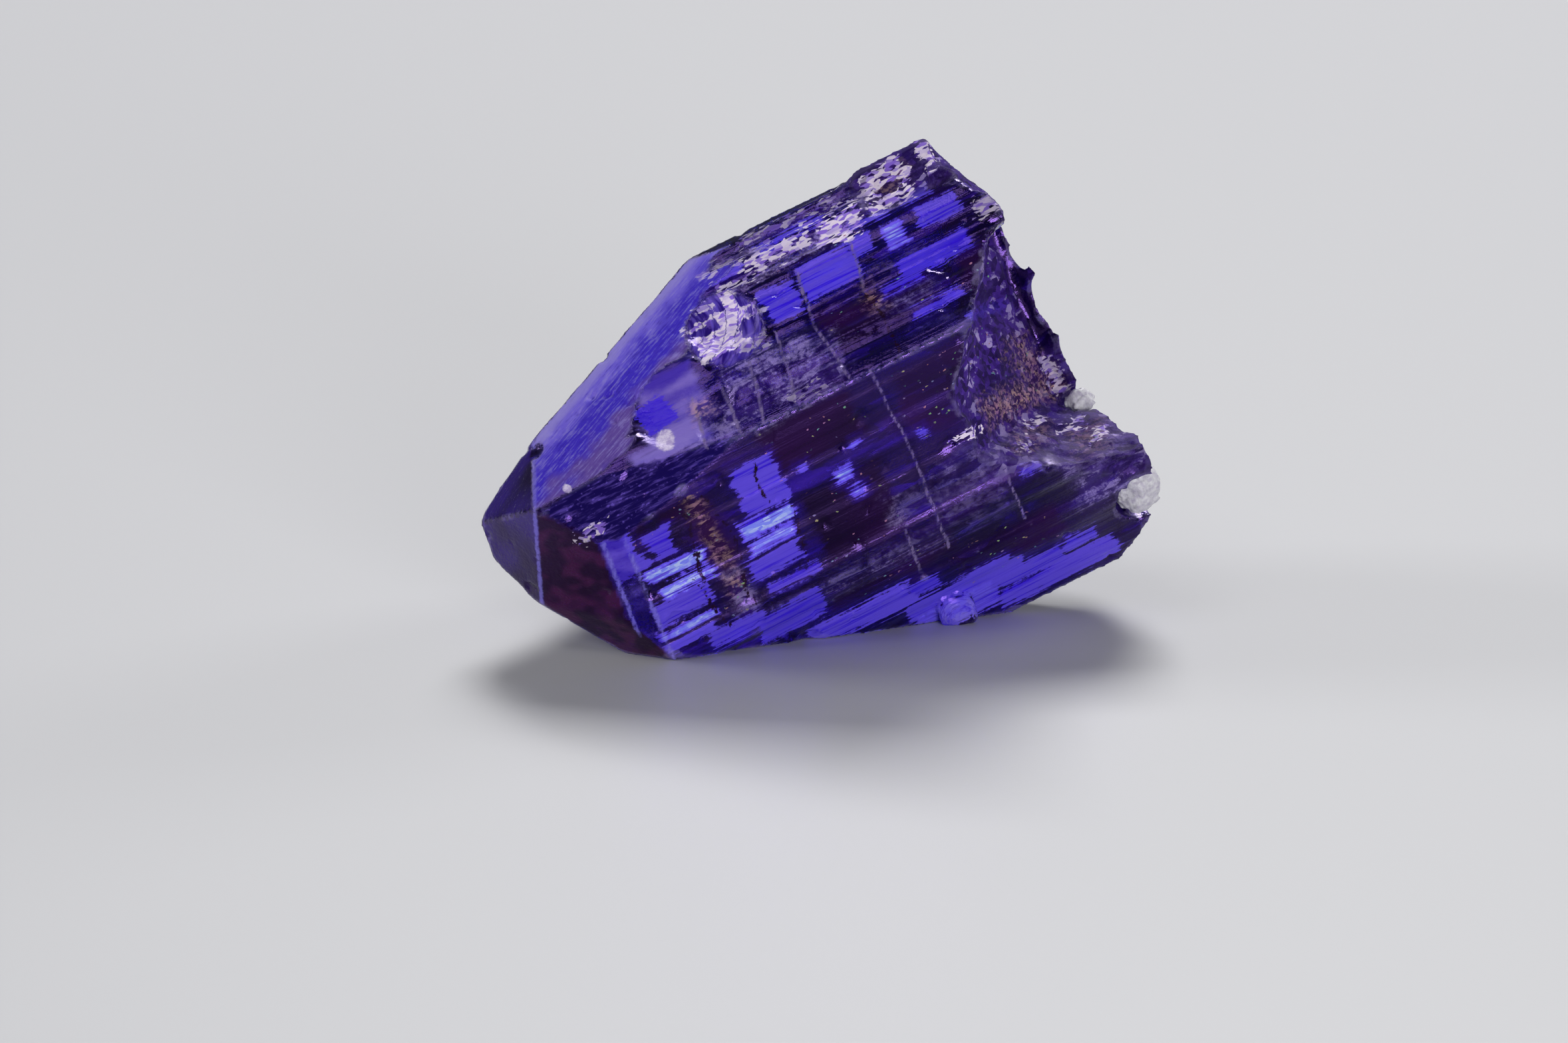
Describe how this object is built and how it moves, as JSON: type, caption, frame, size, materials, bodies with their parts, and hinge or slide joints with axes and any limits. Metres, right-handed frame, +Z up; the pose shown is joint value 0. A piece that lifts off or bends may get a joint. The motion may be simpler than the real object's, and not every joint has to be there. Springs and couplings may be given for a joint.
{
  "type": "rough tanzanite",
  "caption": "Rough violet-blue tanzanite crystal with a chisel-like end, a broken end and white matrix lumps, resting on a flat spot.",
  "frame": {"origin": "on the ground plane under the middle of the stone's box", "axes": "+X to the right as the stone is seen from the front, along its longest reach; +Y away from the front; +Z up"},
  "size_m": [0.0302, 0.0194, 0.0211],
  "materials": {
    "violet_crystal": "clear violet-blue zoisite, glossy growth faces, frosted bevel and rough broken end",
    "white_matrix": "white crumbly calcite-like matrix mineral, matt to waxy"
  },
  "bodies": {
    "root": {"crystal": "violet_crystal", "matrix_knob": "white_matrix", "matrix_fleck": "white_matrix"}
  },
  "joints": []
}
